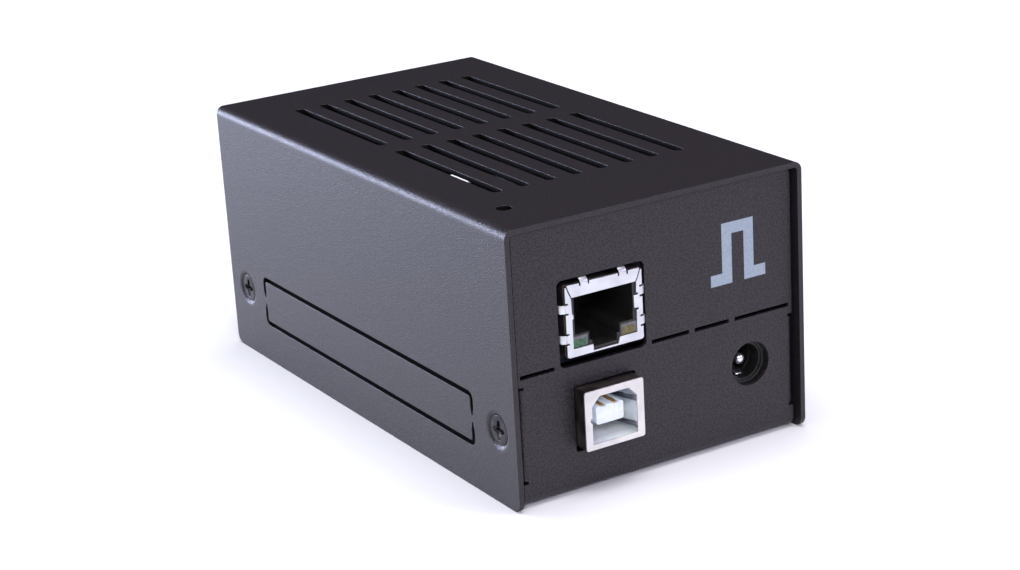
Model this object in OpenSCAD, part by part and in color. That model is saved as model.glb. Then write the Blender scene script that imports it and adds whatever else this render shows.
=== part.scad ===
// Desktop instrument in a folded steel case: a cover shaped like an upside-down U slides over a
// tray whose end walls carry the sockets, and two stacked circuit boards sit inside.
// Millimetres, +Z up. The front wall faces -Y. X = 0 is the middle of the case, Z = 0 the surface
// it stands on, and Y = 0 the middle of the overall length.

/* [Case] */
// Width of the cover over its side sheets
case_w = 61; // [60:0.5:64]
// Depth of the cover, front edge to rear edge
case_d = 110; // [104:1:130]
// Height of the cover above the bench
case_h = 50; // [48:0.5:60]
// Thickness of the steel sheet with its powder coat
sheet_t = 1; // [0.8:0.1:1.2]
// Outside radius of every bend in the sheets
bend_r = 1.6; // [1.4:0.1:2.5]
// Radius of the cover's lower corners
foot_r = 2; // [1:0.25:4]

/* [Tray] */
// Distance of the end walls behind the cover's edges
wall_recess = 1.2; // [0.6:0.1:2]
// Gap between the tray and each side sheet
side_gap = 0.75; // [0.6:0.05:1]
// Height of the tray floor above the bench
tray_lift = 0.5; // [0.3:0.1:1]
// Gap between the end walls and the cover's top sheet
top_gap = 0.4; // [0.2:0.1:1]
// Height of the side flanges' middle, which is the height of the cover screws
flange_z = 13.4; // [12:0.1:14]
// Height of the side flanges
flange_h = 16.5; // [12:0.5:17]
// Depth of the side flanges, measured from the end wall
flange_d = 9.6; // [8:0.2:11]

/* [Vents] */
// Slots in each row across the top
vent_count = 8; // [4:1:9]
// Distance between neighbouring slots
vent_pitch = 5.45; // [4:0.05:6]
// Width of a slot
vent_w = 2; // [1:0.1:3]
// Length of a slot with its round ends
vent_len = 35.4; // [20:0.2:38]
// Distance between the middles of the two rows
vent_row_pitch = 40.7; // [38.5:0.1:44]
// Distance of the front row's middle behind the front edge
vent_row_y = 37.7; // [30:0.1:44]

/* [Knock-outs] */
// Length of the break-out panel in each side sheet
ko_len = 80.5; // [60:0.5:82]
// Height of the break-out panel
ko_h = 9.2; // [6:0.1:10]
// Width of the slit around it
ko_slit = 0.9; // [0.6:0.1:1.2]
// Width of the tab that holds each end
ko_tab = 1.2; // [0.8:0.1:2]
// Distance of the panel's middle behind the front edge
ko_y = 54.5; // [50:0.5:58]

/* [Front wall] */
// Height of the break-away line across the front wall
break_z = 23.7; // [22.5:0.1:25]
// Width of that line's slits
break_slit = 0.7; // [0.5:0.1:1.2]
// Diameter of the power jack's hole
power_hole_d = 8.1; // [7:0.1:9]

/* [Boards] */
// Width of both boards, across the case
board_w = 53.4; // [53:0.1:53.6]
// Length of both boards, along the case
board_l = 68.6; // [66:0.1:80]
// Thickness of both boards
board_t = 1.6; // [1.2:0.1:2]
// Height of the main board's upper face
board_z = 8.5; // [8:0.1:9]
// Height of the network board's upper face
net_z = 24.6; // [24.2:0.1:25.5]
// Height of the stacking sockets
socket_h = 12; // [8:0.5:12]

/* [Buttons] */
// Diameter of the reset button's plunger
plunger_d = 3.5; // [2.5:0.1:4]
// Diameter of the reset access hole in the cover
access_d = 2.8; // [2:0.1:3.5]

/* [Hidden] */
$fn = 48;
cut = 0.5;                                     // overshoot of every cutting solid
usb_lead = 1.75;                               // how far the data socket stands ahead of the cover
front_y = -(case_d - usb_lead) / 2;            // the cover's front edge, in the shared frame
inner_w = case_w - 2 * sheet_t;
tray_w = inner_w - 2 * side_gap;
wall_top = case_h - sheet_t - top_gap;
floor_z = tray_lift + sheet_t;                 // upper face of the tray floor
front_screw = 6;                               // cover screws, from the front edge of the cover
rear_screw = 7;                                // and from its rear edge
flange_x = tray_w / 2 - sheet_t;               // inner face of a side flange
flange_r = sheet_t + 0.2;                      // outside radius of its bend
flange_mid = flange_z - 0.2;                   // middle of its height
relief = [0.75, 0.5];                          // width and height of the cuts at its ends

// Boards: the right edge and the front edge set every socket's place
board_right = 26.6;
board_front = 4.45;
board_mid_x = board_right - board_w / 2;
board_holes = [[24.1, 14], [-24.2, 15.2], [19, 66], [-9, 66]];   // x, distance from the front edge
header_runs = [[24.1, 27.9, 8], [24.1, 50.8, 6], [-24.2, 18.8, 10], [-24.2, 45.7, 8]];
header_pitch = 2.54;
stack_base = 2.5;                              // height of the stacking pins' plastic strip

// Front sockets: middles across the case, and heights above the bench
usb_x = board_right - 38.3;
usb_w = 12.05;
usb_h = 10.75;
usb_depth = 16.2;
usb_t = 0.35;
usb_cav = [8.9, 8.2, 9.4];                     // socket opening: width, height, depth
usb_cham = 1.6;                                // its bevelled upper corners
power_x = board_right - 7.3;
power_z = 14.6;
power_face = 2.5;                              // front of the power jack, behind the cover's edge
power_bore = 6.4;
power_len = [3.4, 9.8];                        // square front and round rear of the power jack
power_pin = [1.3, 7.1];                        // tip of its pin behind that, and the pin's straight length
lan_x = -11.35;
lan_w = 15.5;
lan_h = 12.8;
lan_bottom = net_z + 0.5;
lan_face = 0.6;                                // front of the network jack, behind the cover's edge
lan_depth = 21.3;
lan_t = 0.3;
lan_cut = [17.6, 15.45];
lan_plug = [11.8, 6.6, 12.5];                  // plug opening: width, height, depth
lan_led = [3.4, 1.9];                          // lamp windows in the lower corners
lan_rail = 1.45;                               // height of the shell's lower corners
lan_latch = 5.1;                               // width of the latch notch
lan_flare = 7;                                 // angle at which the earthing fingers stand out

reset_x = -23.4;                               // both reset switches, one above the other
reset_y = 11.4;
switch_size = 6;
switch_h = 3.4;
plunger_top = 5;                               // top of a plunger above its board

// ---------------------------------------------------------------- shared shapes

// Moves a drawing that counts Y from the cover's front edge into the shared frame
module in_case() { translate([0, front_y, 0]) children(); }

// Extrudes a drawing of X and Z towards +Y
module along_y(depth) {
    translate([0, depth, 0]) rotate([90, 0, 0]) linear_extrude(depth) children();
}

// Extrudes a drawing of Y and Z towards +X
module along_x(width) { rotate([90, 0, 90]) linear_extrude(width) children(); }

module soft_rect(w, h, r) {
    square([w - 2 * r, h], center = true);
    square([w, h - 2 * r], center = true);
    for (sx = [-1, 1], sy = [-1, 1])
        translate([sx * (w / 2 - r), sy * (h / 2 - r)]) circle(r);
}

module slot(len, w) {
    square([w, len - w], center = true);
    for (s = [-1, 1]) translate([0, s * (len - w) / 2]) circle(d = w);
}

// A block standing on z, centred on x and y
module chip(x, y, z, size) {
    translate([x - size[0] / 2, y - size[1] / 2, z]) cube(size);
}

// ---------------------------------------------------------------- case

// Outline of the upside-down U, inset by d from its outer faces
module cover_outline(d) {
    r = bend_r - d;
    half = case_w / 2 - d;
    top = case_h - d;
    translate([-half, -cut]) square([2 * half, top - r + cut]);
    translate([-half + r, -cut]) square([2 * (half - r), top + cut]);
    for (s = [-1, 1]) translate([s * (half - r), top - r]) circle(r);
}

// Side view of the cover, with its lower corners rounded
module cover_side() {
    translate([0, foot_r]) square([case_d, case_h]);
    translate([foot_r, 0]) square([case_d - 2 * foot_r, case_h]);
    for (y = [foot_r, case_d - foot_r]) translate([y, foot_r]) circle(foot_r);
}

// Slit around a break-out panel, less the tabs at its two ends
module knock_out_slit() {
    difference() {
        soft_rect(ko_len + ko_slit, ko_h + ko_slit, 1.4);
        soft_rect(ko_len - ko_slit, ko_h - ko_slit, 0.5);
        square([ko_len + 4, ko_tab], center = true);
    }
}

// Funnel pressed into a side sheet for a countersunk screw; x runs into the case
module dimple_solid() { rotate([0, 90, 0]) cylinder(h = sheet_t + side_gap, r1 = 3.9, r2 = 2.5); }
module dimple_hole() {
    translate([-0.01, 0, 0]) rotate([0, 90, 0]) cylinder(h = 1.5, r1 = 3.1, r2 = 1.65);
    rotate([0, 90, 0]) cylinder(h = 4, r = 1.65);
}

module at_dimples() {
    for (y = [front_screw, case_d - rear_screw]) translate([0, y, flange_z]) {
        translate([-case_w / 2, 0, 0]) children();
        translate([case_w / 2, 0, 0]) mirror([1, 0, 0]) children();
    }
}

module cover() {
    color("#2f2c33") in_case() difference() {
        union() {
            intersection() {
                along_y(case_d) difference() {
                    cover_outline(0);
                    cover_outline(sheet_t);
                }
                translate([-case_w, 0, 0]) along_x(2 * case_w) cover_side();
            }
            at_dimples() dimple_solid();
        }
        at_dimples() dimple_hole();
        // vent slots
        for (row = [0, 1], i = [0 : vent_count - 1])
            translate([(i - (vent_count - 1) / 2) * vent_pitch, vent_row_y + row * vent_row_pitch,
                       case_h - 2 * sheet_t])
                linear_extrude(3 * sheet_t) slot(vent_len, vent_w);
        // reset access hole
        translate([reset_x, reset_y, case_h - 2 * sheet_t]) cylinder(h = 3 * sheet_t, d = access_d);
        // break-out panels
        for (s = [-1, 1]) translate([s * (case_w / 2 - sheet_t / 2) - sheet_t, ko_y, flange_z - 0.5])
            along_x(2 * sheet_t) knock_out_slit();
    }
}

// Side view of the tray: floor and two end walls, inset by d from the outer faces
module tray_outline(d) {
    r = bend_r - d;
    y0 = wall_recess + d;
    y1 = case_d - wall_recess - d;
    z0 = tray_lift + d;
    translate([y0, z0 + r]) square([y1 - y0, wall_top - z0]);
    translate([y0 + r, z0]) square([y1 - y0 - 2 * r, wall_top - z0]);
    for (y = [y0 + r, y1 - r]) translate([y, z0 + r]) circle(r);
}

// Flange folded back from the left edge of the front wall, seen from above
module flange_outline() {
    difference() {
        union() {
            translate([-tray_w / 2, wall_recess + flange_r]) square([sheet_t, flange_d - flange_r]);
            translate([-tray_w / 2 + flange_r, wall_recess + flange_r]) circle(flange_r);
        }
        translate([-tray_w / 2 + flange_r, wall_recess + flange_r]) circle(flange_r - sheet_t);
        translate([-tray_w / 2 + sheet_t, wall_recess + flange_r]) square([flange_r, flange_d]);
        translate([-tray_w / 2 + flange_r, 0]) square([flange_r, flange_d]);
    }
}

// Flange with the drawn thread for its cover screw, which sits screw_y from the end of the case
module flange(screw_y) {
    difference() {
        union() {
            translate([0, 0, flange_mid - flange_h / 2]) linear_extrude(flange_h) flange_outline();
            translate([-flange_x - cut, screw_y, flange_z]) rotate([0, 90, 0])
                cylinder(h = 1.2 + cut, r = 2.2);
        }
        translate([-tray_w, screw_y, flange_z]) rotate([0, 90, 0]) cylinder(h = tray_w, r = 1.5);
    }
}

// Puts its first child at the two front flanges and its last at the two rear ones
module at_flanges() {
    for (side = [0, 1]) mirror([side, 0, 0]) {
        children(0);
        translate([0, case_d, 0]) mirror([0, 1, 0]) children($children - 1);
    }
}

// Relief cut above and below a flange, where its bend starts
module flange_reliefs() {
    for (s = [-1, 1])
        translate([-tray_w / 2 - cut, -cut, flange_mid + s * (flange_h + relief[1]) / 2 - relief[1] / 2])
            cube([relief[0] + cut, 4, relief[1]]);
    // the wall's edge, which the bend replaces
    translate([-tray_w / 2 - cut, -cut, flange_mid - flange_h / 2])
        cube([flange_r + cut, wall_recess + flange_r + cut, flange_h]);
}

module front_cut_outs() {
    along_y(6) {
        translate([lan_x - 0.15, break_z + (lan_cut[1] - break_slit) / 2])
            soft_rect(lan_cut[0], lan_cut[1], 1);
        translate([usb_x + 0.1, 13.6]) soft_rect(usb_w + 0.55, usb_h + 1.2, 0.5);
        translate([power_x, power_z]) circle(d = power_hole_d);
        // break-away line: slits between narrow bridges
        for (run = [[-28.3, -21.5], [-1.6, 6.3], [7.5, 14.8], [16.1, 28]])
            translate([run[0], break_z - break_slit / 2]) square([run[1] - run[0], break_slit]);
    }
}

module lock_slot() { translate([22.4, case_d - 6, 24.4]) along_y(6) soft_rect(7, 3, 0.8); }

module tray() {
    color("#302d34") in_case() difference() {
        union() {
            difference() {
                translate([-tray_w / 2, 0, 0]) along_x(tray_w) difference() {
                    intersection() {
                        tray_outline(0);
                        square([case_d, wall_top]);
                    }
                    tray_outline(sheet_t);
                }
                at_flanges() flange_reliefs();
            }
            at_flanges() { flange(front_screw); flange(rear_screw); }
        }
        front_cut_outs();
        lock_slot();
        // seats of the standoffs
        for (h = board_holes) translate([h[0], board_front + h[1], 0]) cylinder(h = 4, r = 2.1);
    }
}

// ---------------------------------------------------------------- fasteners

// Cross-shaped recess of a screw head, cut towards -z
module cross_recess(size, depth) {
    for (a = [0, 90]) rotate(a) translate([-size / 2, -size * 0.14, -depth])
        cube([size, size * 0.28, depth + cut]);
}

// Countersunk screw in the left side sheet; x runs into the case
module cover_screw() {
    head_in = 0.25;
    difference() {
        translate([head_in, 0, 0]) rotate([0, 90, 0]) {
            cylinder(h = 1.3, r1 = 2.7, r2 = 1.45);
            cylinder(h = 6, r = 1.45);
        }
        translate([head_in, 0, 0]) rotate([0, -90, 0]) cross_recess(2.9, 0.9);
    }
}

module cover_screws() { color("#26242a") in_case() at_dimples() cover_screw(); }

// Hexagonal pillars pressed into the tray floor
module standoffs() {
    color("#b8a05c") in_case() for (h = board_holes)
        translate([h[0], board_front + h[1], 0]) difference() {
            union() {
                translate([0, 0, floor_z]) cylinder(h = board_z - board_t - floor_z, r = 3, $fn = 6);
                translate([0, 0, tray_lift]) cylinder(h = sheet_t + cut, r = 2.08);
            }
            translate([0, 0, tray_lift - 1]) cylinder(h = board_z, r = 1.3);
        }
}

module board_screws() {
    color("#c9c9cc") in_case() for (h = board_holes)
        translate([h[0], board_front + h[1], board_z]) difference() {
            union() {
                cylinder(h = 1.9, r = 2.2);
                translate([0, 0, -5]) cylinder(h = 5.5, r = 1.25);
            }
            translate([0, 0, 1.9]) cross_recess(2.6, 1);
        }
}

// ---------------------------------------------------------------- boards

// A board with mounting holes and the holes of its pin rows; z is its upper face
module board(z, hole_r) {
    translate([0, board_front, z - board_t]) difference() {
        linear_extrude(board_t) difference() {
            translate([board_mid_x, board_l / 2]) soft_rect(board_w, board_l, 1.2);
            for (h = board_holes) translate([h[0], h[1]]) circle(hole_r);
        }
        for (run = header_runs, i = [0 : run[2] - 1])
            translate([run[0], run[1] + i * header_pitch, -cut])
                cylinder(h = board_t + 2 * cut, r = 0.5);
    }
}

module main_board() { color("#14181e") in_case() board(board_z, 1.6); }

module network_board() { color("#14181e") in_case() board(net_z, 1.6); }

// Pin-row housings of height h standing on z, with a square hole for each pin
module pin_row_sockets(z, h) {
    for (run = header_runs)
        translate([run[0], board_front + run[1], z]) difference() {
            translate([-1.25, -header_pitch / 2 - 0.05, 0]) cube([2.5, run[2] * header_pitch + 0.1, h]);
            for (i = [0 : run[2] - 1])
                translate([-0.4, i * header_pitch - 0.4, 1]) cube([0.8, 0.8, h]);
        }
}

module stacking_sockets() { color("#18181a") in_case() pin_row_sockets(board_z, socket_h); }

module probe_sockets() { color("#18181a") in_case() pin_row_sockets(net_z, 8.5); }

// Plastic strips under the network board with the pins that plug into the sockets below
module stacking_pins() {
    top = net_z - board_t;
    color("#c8b070") in_case() for (run = header_runs)
        translate([run[0], board_front + run[1], top]) union() {
            translate([-1.25, -header_pitch / 2 - 0.05, -stack_base])
                cube([2.5, run[2] * header_pitch + 0.1, stack_base]);
            for (i = [0 : run[2] - 1])
                translate([-0.32, i * header_pitch - 0.32, -stack_base - 6]) cube([0.64, 0.64, 6 + cut]);
        }
}

// ---------------------------------------------------------------- data socket (square, front left)

// Opening of the data socket, with its upper corners bevelled
module usb_mouth(w, h) {
    polygon([[-w / 2, -h / 2], [w / 2, -h / 2], [w / 2, h / 2 - usb_cham],
             [w / 2 - usb_cham, h / 2], [-w / 2 + usb_cham, h / 2], [-w / 2, h / 2 - usb_cham]]);
}

module at_usb() { translate([usb_x, -usb_lead, board_z + usb_h / 2]) children(); }

module usb_shell() {
    color("#cfd0d4") in_case() at_usb() difference() {
        along_y(usb_depth) square([usb_w, usb_h], center = true);
        translate([0, usb_t, 0]) along_y(usb_depth) square([usb_w - 2 * usb_t, usb_h - 2 * usb_t], center = true);
        translate([0, -cut, 0]) along_y(2) translate([0, -0.1]) usb_mouth(usb_cav[0], usb_cav[1]);
    }
}

module usb_insulator() {
    inner = [usb_w - 2 * usb_t - 0.1, usb_h - 2 * usb_t - 0.1];
    tongue_back = 1.6;
    color("#e9ebe8") in_case() at_usb() union() {
        difference() {
            translate([0, usb_t, 0]) along_y(usb_depth - usb_t - 0.2) square(inner, center = true);
            translate([0, 0, -0.1]) along_y(usb_cav[2]) usb_mouth(usb_cav[0], usb_cav[1]);
        }
        translate([-2.8, tongue_back, -1.4]) difference() {
            cube([5.6, usb_cav[2], 3.2]);
            for (x = [1, 3.6], z = [-cut, 3]) translate([x, 0.8, z]) cube([1, usb_cav[2], 0.2 + cut]);
        }
    }
}

module usb_contacts() {
    color("#c9a24a") in_case() at_usb() for (x = [-1.8, 0.8], z = [-1.4, 1.62])
        translate([x + 0.05, 2.5, z]) cube([0.9, usb_cav[2] - 2.5, 0.18]);
}

// ---------------------------------------------------------------- power jack (round, front right)

module power_jack_body() {
    color("#161618") in_case() translate([power_x, power_face, power_z]) difference() {
        union() {
            translate([-4.5, 0, board_z - power_z]) cube([9, power_len[0], power_z - board_z + 4.7]);
            translate([-4.5, power_len[0], board_z - power_z]) cube([9, power_len[1], 6.2]);
            translate([0, power_len[0], 0]) along_y(power_len[1]) circle(4.5);
        }
        translate([0, -cut, 0]) along_y(9.8) circle(d = power_bore);
    }
}

module power_jack_pin() {
    color("#d4d4d8") in_case() translate([power_x, power_face + power_pin[0], power_z]) {
        translate([0, 0.9, 0]) rotate([-90, 0, 0]) cylinder(h = power_pin[1], r = 1.05);
        translate([0, 1.05, 0]) sphere(1.05);
    }
}

module power_jack_spring() {
    color("#c4c4c8") in_case() translate([power_x - 0.8, power_face + 2, power_z - 2.95])
        rotate([9, 0, 0]) cube([1.6, 6.4, 0.25]);
}

// ---------------------------------------------------------------- other parts of the main board

module microcontroller_socket() {
    color("#1a1a1c") in_case() translate([9.5, board_front + 47, board_z]) difference() {
        translate([-5.1, -17.9, 0]) cube([10.2, 35.8, 4.2]);
        translate([-2.4, -15, -cut]) cube([4.8, 30, 6]);
    }
}

module microcontroller() {
    color("#202022") in_case() translate([9.5, board_front + 47, board_z + 4.3]) difference() {
        union() {
            translate([-3.4, -17.5, 0.3]) cube([6.8, 35, 3.3]);
            for (s = [-1, 1], i = [0 : 13])
                translate([s * 3.9 - 0.6, (i - 6.5) * header_pitch - 0.25, 0.15]) cube([1.2, 0.5, 1.6]);
        }
        translate([0, -17.5, 2.9]) cylinder(h = 2, r = 1.2);
    }
}

module usb_bridge_chip() {
    color("#202022") in_case() {
        chip(-11.5, board_front + 22, board_z, [7, 7, 1.2]);
        chip(-11.5, board_front + 22, board_z, [9, 5.6, 0.3]);
        chip(-11.5, board_front + 22, board_z, [5.6, 9, 0.3]);
    }
}

// Tin can of a quartz crystal on a low foot
module crystal_can(x, y, z) {
    translate([x, y, z]) {
        linear_extrude(0.6) soft_rect(4.9, 11.3, 2.4);
        linear_extrude(3.6) soft_rect(4.2, 10.4, 2.05);
    }
}

module main_crystal() { color("#c8c8cc") in_case() crystal_can(-1.5, board_front + 21, board_z); }

module smoothing_capacitors() {
    color("#bfc2c6") in_case() for (x = [8, 16.5]) translate([x, board_front + 19.4, board_z]) {
        chip(0, 0, 0, [6.6, 6.6, 1]);
        cylinder(h = 5.8, r = 3.15);
    }
}

module voltage_regulator() {
    color("#202022") in_case() {
        chip(2, board_front + 9, board_z, [6.5, 3.5, 1.7]);
        chip(2, board_front + 9, board_z, [3, 7, 0.3]);
    }
}

module at_programming_pins() {
    for (i = [-1, 1], j = [-1, 0, 1])
        translate([-1.5 + i * header_pitch / 2, board_front + 63.5 + j * header_pitch, board_z]) children();
}

module programming_header() {
    color("#18181a") in_case() difference() {
        chip(-1.5, board_front + 63.5, board_z, [5.1, 7.6, 2.5]);
        at_programming_pins() chip(0, 0, -cut, [0.7, 0.7, 4]);
    }
}

module programming_pins() { color("#c9a24a") in_case() at_programming_pins() chip(0, 0, 0, [0.64, 0.64, 8.5]); }

module status_lamps() {
    color("#7fd08a") in_case() {
        for (y = [30, 34, 38]) chip(-19.5, board_front + y, board_z, [1.6, 0.9, 0.7]);
        for (x = [2, 6]) chip(x, board_front + 60, net_z, [0.9, 1.6, 0.7]);
    }
}

// ---------------------------------------------------------------- reset switches, z = face of the board

module switch_base(z) {
    translate([reset_x, reset_y, z]) difference() {
        chip(0, 0, 0, [switch_size, switch_size, switch_h - 0.3]);
        translate([0, 0, 1]) cylinder(h = 5, r = 2.45);
    }
}

module switch_cover(z) {
    translate([reset_x, reset_y, z + switch_h - 0.3]) difference() {
        chip(0, 0, 0, [switch_size - 0.2, switch_size - 0.2, 0.3]);
        translate([0, 0, -cut]) cylinder(h = 2, r = plunger_d / 2 + 0.12);
    }
}

module switch_plunger(z) {
    translate([reset_x, reset_y, z]) {
        translate([0, 0, 1.6]) cylinder(h = plunger_top - 1.6, d = plunger_d);
        translate([0, 0, 1.6]) cylinder(h = 1.2, r = 2.1);
    }
}

module main_reset_base() { color("#19191b") in_case() switch_base(board_z); }
module main_reset_cover() { color("#bfc0c4") in_case() switch_cover(board_z); }
module main_reset_plunger() { color("#1f1f22") in_case() switch_plunger(board_z); }
module reset_base() { color("#19191b") in_case() switch_base(net_z); }
module reset_cover() { color("#bfc0c4") in_case() switch_cover(net_z); }
module reset_plunger() { color("#1f1f22") in_case() switch_plunger(net_z); }

// ---------------------------------------------------------------- network jack (front left, upper board)

module at_lan() { translate([lan_x, lan_face, lan_bottom]) children(); }

// Front opening of the metal shell: lamp windows, plug opening and latch notch in one outline
module lan_mouth() {
    translate([-6.5, lan_rail]) square([13, lan_h - lan_rail - 2.3]);
    translate([-lan_latch / 2, 0.35]) square([lan_latch, 3]);
}

module lan_shell() {
    color("#d3d5d9") in_case() at_lan() union() {
        difference() {
            along_y(lan_depth) translate([-lan_w / 2, 0]) square([lan_w, lan_h]);
            translate([0, lan_t, 0]) along_y(lan_depth) translate([-lan_w / 2 + lan_t, lan_t])
                square([lan_w - 2 * lan_t, lan_h - 2 * lan_t]);
            translate([0, -cut, 0]) along_y(2) lan_mouth();
        }
        // earthing fingers that press on the edge of the cut-out
        for (x = [-3.7, 3.7]) translate([x - 0.8, 0.4, lan_h - 0.2]) rotate([lan_flare, 0, 0])
            cube([1.6, 4.2, 0.25]);
        for (side = [0, 1], z = [3.5, 8.6]) mirror([side, 0, 0])
            translate([-lan_w / 2 + 0.2, 0.4, z - 0.8]) rotate([0, 0, lan_flare])
                translate([-0.25, 0, 0]) cube([0.25, 4.2, 1.6]);
    }
}

module lan_housing() {
    inner_w = lan_w - 2 * lan_t - 0.1;
    plug_z = lan_h - 2.4 - lan_plug[1];
    color("#141416") in_case() at_lan() difference() {
        translate([-inner_w / 2, lan_t + 0.05, lan_t + 0.05])
            cube([inner_w, lan_depth - 1, lan_h - 2 * lan_t - 0.1]);
        // plug opening, stepped keyway and latch groove
        translate([-lan_plug[0] / 2, -cut, plug_z]) cube([lan_plug[0], lan_plug[2] + cut, lan_plug[1]]);
        translate([-3.1, -cut, plug_z - 1.6]) cube([6.2, lan_plug[2] + cut, 3]);
        translate([-lan_latch / 2, -cut, 0.8]) cube([lan_latch, lan_plug[2] + cut, 4]);
        // lamp pockets
        for (s = [-1, 1]) translate([s * 4.9 - lan_led[0] / 2 - 0.05, -cut, lan_rail - 0.05])
            cube([lan_led[0] + 0.1, 8 + cut, lan_led[1] + 0.1]);
    }
}

module lan_contacts() {
    color("#c9a24a") in_case() at_lan() for (i = [0 : 7])
        translate([(i - 3.5) * 1.02 - 0.18, 3.2, 9.9]) rotate([-8, 0, 0]) cube([0.36, 9.4, 0.3]);
}

// Light pipe of one lamp; side is -1 for left and 1 for right
module lan_lamp(side) {
    at_lan() translate([side * 4.9 - lan_led[0] / 2, lan_t, lan_rail])
        cube([lan_led[0], 7.6, lan_led[1]]);
}

module lan_lamp_green() { color("#6f9a7c") in_case() lan_lamp(-1); }
module lan_lamp_yellow() { color("#9a8f5c") in_case() lan_lamp(1); }

// ---------------------------------------------------------------- other parts of the network board

module network_chip() {
    color("#202022") in_case() {
        chip(-8, board_front + 36, net_z, [12, 12, 1.4]);
        chip(-8, board_front + 36, net_z, [14, 10.4, 0.3]);
        chip(-8, board_front + 36, net_z, [10.4, 14, 0.3]);
    }
}

module network_crystal() { color("#c8c8cc") in_case() crystal_can(8, board_front + 33, net_z); }

module sample_memory() {
    color("#202022") in_case() {
        chip(-6, board_front + 55, net_z, [12, 8, 1.2]);
        chip(-6, board_front + 55, net_z, [10.5, 10.2, 0.3]);
    }
}

module input_buffers() {
    color("#202022") in_case() for (y = [42, 53]) {
        chip(15, board_front + y, net_z, [4.4, 6.5, 1.1]);
        chip(15, board_front + y, net_z, [6.4, 5.6, 0.3]);
    }
}

// ---------------------------------------------------------------- nodes

cover();
tray();
cover_screws();
standoffs();
board_screws();
main_board();
usb_shell();
usb_insulator();
usb_contacts();
power_jack_body();
power_jack_pin();
power_jack_spring();
stacking_sockets();
stacking_pins();
microcontroller_socket();
microcontroller();
usb_bridge_chip();
main_crystal();
smoothing_capacitors();
voltage_regulator();
programming_header();
programming_pins();
status_lamps();
main_reset_base();
main_reset_cover();
main_reset_plunger();
network_board();
lan_shell();
lan_housing();
lan_contacts();
lan_lamp_green();
lan_lamp_yellow();
network_chip();
network_crystal();
sample_memory();
input_buffers();
probe_sockets();
reset_base();
reset_cover();
reset_plunger();
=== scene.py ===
"""Looks of a small bench instrument in a folded, powder-coated steel case.

The sheets, screws, sockets and lamps are made here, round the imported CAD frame.
The rest keeps its CAD meshes.
"""

import math

import bmesh
import bpy
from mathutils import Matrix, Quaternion, Vector
from mathutils.geometry import delaunay_2d_cdt


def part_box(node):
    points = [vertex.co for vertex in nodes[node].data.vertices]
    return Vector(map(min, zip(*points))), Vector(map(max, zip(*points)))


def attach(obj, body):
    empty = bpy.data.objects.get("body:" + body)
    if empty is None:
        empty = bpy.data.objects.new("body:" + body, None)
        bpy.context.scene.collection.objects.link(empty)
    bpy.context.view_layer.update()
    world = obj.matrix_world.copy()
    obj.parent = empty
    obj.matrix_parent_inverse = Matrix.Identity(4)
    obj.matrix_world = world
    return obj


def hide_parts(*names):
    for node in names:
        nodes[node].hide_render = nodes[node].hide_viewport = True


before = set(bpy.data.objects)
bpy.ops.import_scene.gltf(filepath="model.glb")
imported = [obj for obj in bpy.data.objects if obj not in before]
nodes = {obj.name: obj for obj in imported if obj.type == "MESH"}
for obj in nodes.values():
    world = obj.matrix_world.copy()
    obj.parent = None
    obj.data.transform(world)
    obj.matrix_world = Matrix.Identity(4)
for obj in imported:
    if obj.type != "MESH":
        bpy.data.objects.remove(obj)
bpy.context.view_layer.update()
MM = 0.001


def box_mm(node):
    """Lowest and highest corner of a CAD node, in millimetres."""
    low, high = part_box(node)
    return low / MM, high / MM


# ------------------------------------------------------------------ camera, floor and light

CAMERA_AT = Vector((-210.2, -357.8, 161.5))
LOOK_RIGHT = math.radians(30.7)
LOOK_DOWN = math.radians(18.86)
ROLL = math.radians(-3.4)
LENS = 81.0


def link(obj):
    bpy.context.scene.collection.objects.link(obj)
    return obj


def make_camera():
    data = bpy.data.cameras.new("camera")
    data.lens = LENS
    data.sensor_width = 36.0
    data.clip_start = 0.01
    data.clip_end = 20.0
    camera = link(bpy.data.objects.new("camera", data))
    level = math.cos(LOOK_DOWN)
    look = Vector((math.sin(LOOK_RIGHT) * level, math.cos(LOOK_RIGHT) * level, -math.sin(LOOK_DOWN)))
    camera.rotation_mode = "QUATERNION"
    camera.rotation_quaternion = look.to_track_quat("-Z", "Y") @ Quaternion((0, 0, 1), ROLL)
    camera.location = CAMERA_AT * MM
    bpy.context.scene.camera = camera


def area_light(name, at, aim, size, power, colour):
    data = bpy.data.lights.new(name, "AREA")
    data.shape = "RECTANGLE"
    data.size = size[0]
    data.size_y = size[1]
    data.energy = power
    data.color = colour
    lamp = link(bpy.data.objects.new(name, data))
    lamp.location = at
    lamp.rotation_mode = "QUATERNION"
    lamp.rotation_quaternion = (Vector(aim) - Vector(at)).to_track_quat("-Z", "Y")


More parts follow.
